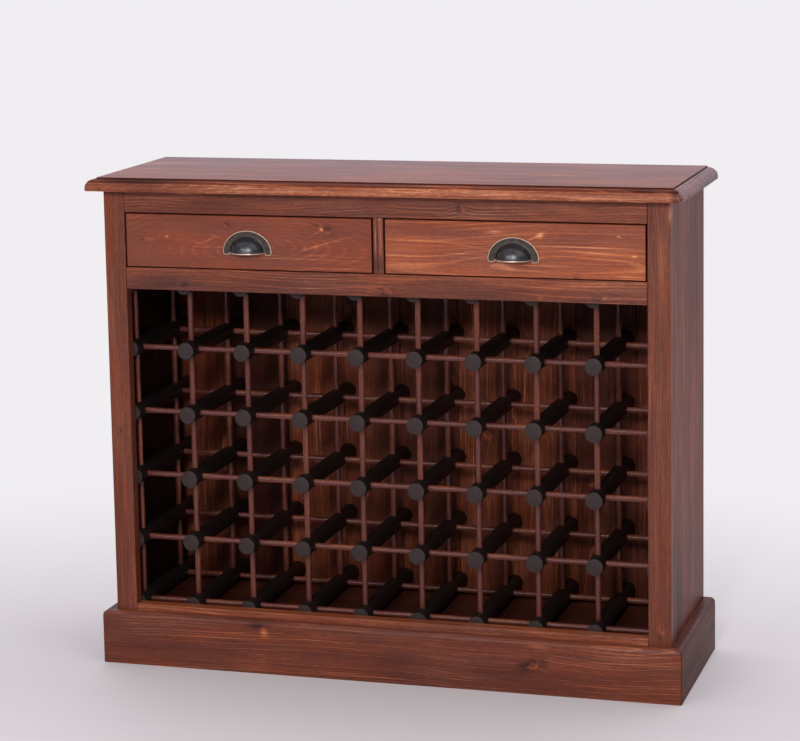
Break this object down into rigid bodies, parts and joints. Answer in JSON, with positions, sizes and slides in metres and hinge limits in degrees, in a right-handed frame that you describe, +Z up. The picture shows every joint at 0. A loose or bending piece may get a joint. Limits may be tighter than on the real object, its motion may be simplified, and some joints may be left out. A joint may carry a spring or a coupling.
{
  "type": "wine cabinet",
  "caption": "Free-standing wooden cabinet with an open bottle rack of round bars, inset drawers with cup pulls, a moulded top and a mitred plinth.",
  "frame": {"origin": "on the floor, under the middle of the cabinet's overall box", "axes": "+X to the right of someone who faces the drawers, +Y to the back, +Z up"},
  "size_m": [1.05, 0.34, 0.87],
  "materials": {
    "stained_pine": "reddish-brown stained pine, satin lacquer",
    "drawer_pine": "lighter reddish-brown stained pine, satin lacquer",
    "inside_pine": "stained pine, matt",
    "raw_pine": "bare pine, sanded",
    "plywood": "bare plywood",
    "rack": "black-stained round bars with dark red-brown dowels, satin",
    "antique_metal": "dark antique finish, worn bright along the rims",
    "screw_steel": "zinc plated"
  },
  "bodies": {
    "carcass": {"top_panel": "stained_pine", "side_panel_left": "stained_pine", "side_panel_right": "stained_pine", "stile_left": "stained_pine", "stile_right": "stained_pine", "top_rail": "stained_pine", "mid_rail": "stained_pine", "bottom_rail": "stained_pine", "drawer_divider": "stained_pine", "plinth_front": "stained_pine", "plinth_left": "stained_pine", "plinth_right": "stained_pine", "plinth_back": "raw_pine", "drawer_guide_left": "raw_pine", "drawer_guide_middle": "raw_pine", "drawer_guide_right": "raw_pine", "kicker_left": "raw_pine", "kicker_right": "raw_pine", "drawer_stop_left": "raw_pine", "drawer_stop_right": "raw_pine", "floor_panel": "inside_pine", "drawer_deck": "inside_pine", "back_board_01": "inside_pine", "back_board_02": "inside_pine", "back_board_03": "inside_pine", "back_board_04": "inside_pine", "back_board_05": "inside_pine", "back_board_06": "inside_pine", "back_board_07": "inside_pine", "back_board_08": "inside_pine", "back_board_09": "inside_pine", "rack_column_01": "rack", "rack_column_02": "rack", "rack_column_03": "rack", "rack_column_04": "rack", "rack_column_05": "rack", "rack_column_06": "rack", "rack_column_07": "rack", "rack_column_08": "rack", "rack_column_09": "rack", "rack_column_10": "rack"},
    "drawer_left": {"drawer_left_front": "drawer_pine", "drawer_left_side_left": "raw_pine", "drawer_left_side_right": "raw_pine", "drawer_left_back": "raw_pine", "drawer_left_bottom": "plywood", "cup_pull_left": "antique_metal", "pull_screw_left_1": "screw_steel", "pull_screw_left_2": "screw_steel"},
    "drawer_right": {"drawer_right_front": "drawer_pine", "drawer_right_side_left": "raw_pine", "drawer_right_side_right": "raw_pine", "drawer_right_back": "raw_pine", "drawer_right_bottom": "plywood", "cup_pull_right": "antique_metal", "pull_screw_right_1": "screw_steel", "pull_screw_right_2": "screw_steel"}
  },
  "joints": [
    {"name": "drawer_left_slide", "type": "slide", "parent": "carcass", "child": "drawer_left", "axis": [0, -1, 0], "range_m": [0, 0.2]},
    {"name": "drawer_right_slide", "type": "slide", "parent": "carcass", "child": "drawer_right", "axis": [0, -1, 0], "range_m": [0, 0.2]}
  ]
}
